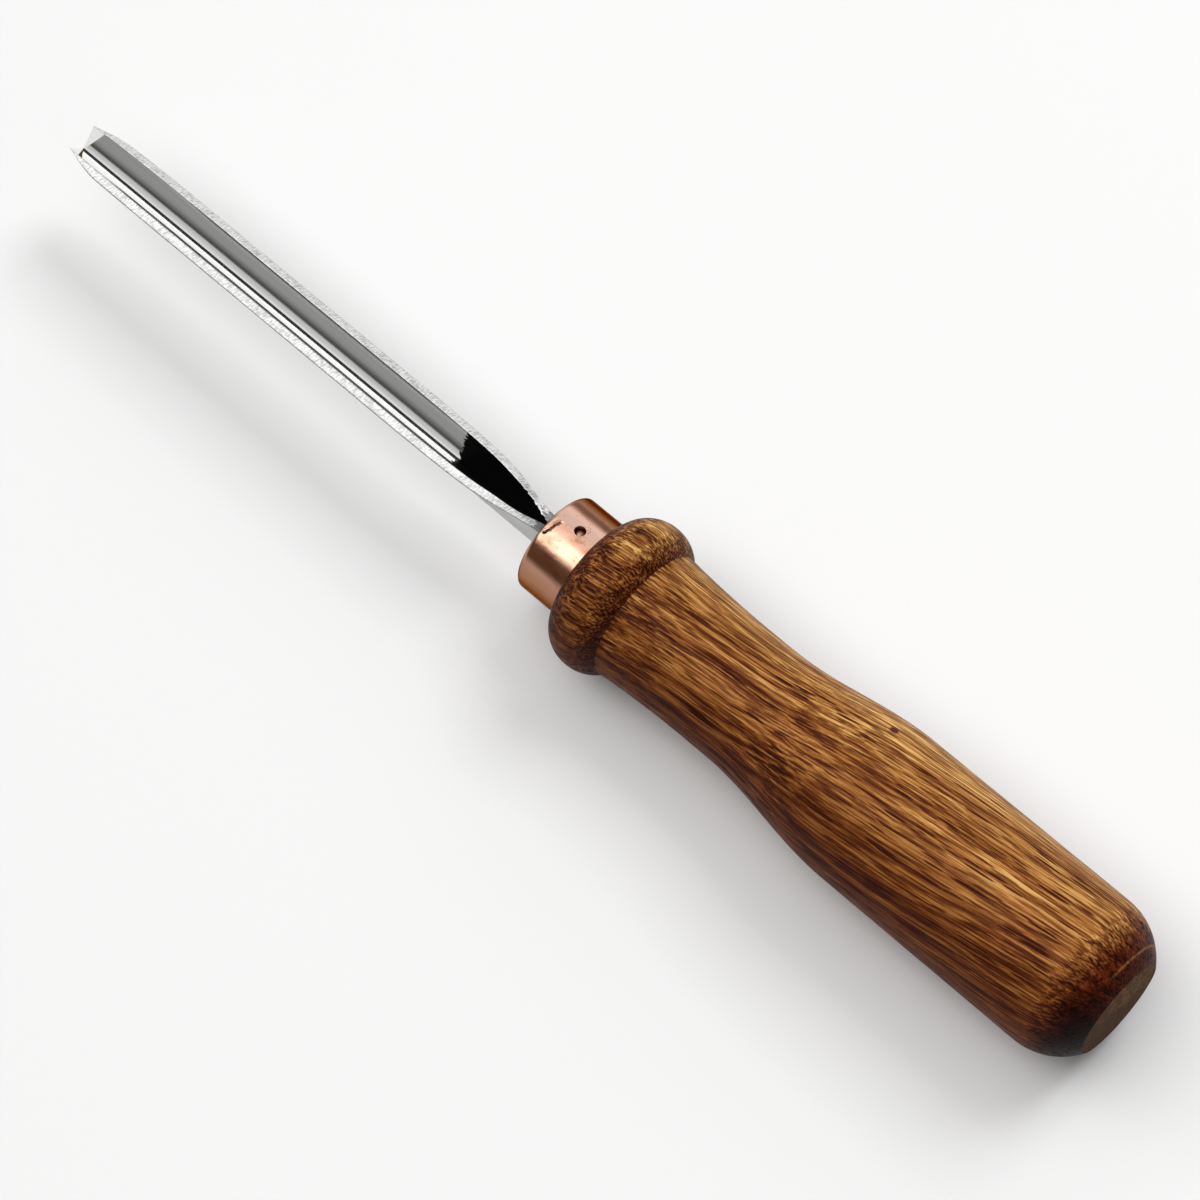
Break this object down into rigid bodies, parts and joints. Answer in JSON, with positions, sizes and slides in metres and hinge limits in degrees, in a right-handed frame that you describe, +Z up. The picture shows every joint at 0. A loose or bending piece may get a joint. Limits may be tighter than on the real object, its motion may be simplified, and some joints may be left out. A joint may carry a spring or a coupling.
{
  "type": "carving v-tool",
  "caption": "Hand carving tool: straight V-section steel blade with a pinched neck and hidden tang, pinned copper ferrule and a turned hardwood handle with bead, waist and rounded butt.",
  "frame": {"origin": "on the resting surface, under the middle of the tool's bounding box", "axes": "+X along the tool towards the cutting edge, +Y to its left, +Z up with the V open upwards"},
  "size_m": [0.2437, 0.03, 0.03],
  "materials": {
    "tool_steel": "polished inside the V, ground lips, black forge scale at the neck",
    "copper": "polished, lightly pitted",
    "brad_steel": "dark, unpolished",
    "oiled_wood": "oiled, open pores"
  },
  "bodies": {
    "root": {"blade": "tool_steel", "ferrule": "copper", "ferrule_brad": "brad_steel", "handle": "oiled_wood"}
  },
  "joints": []
}
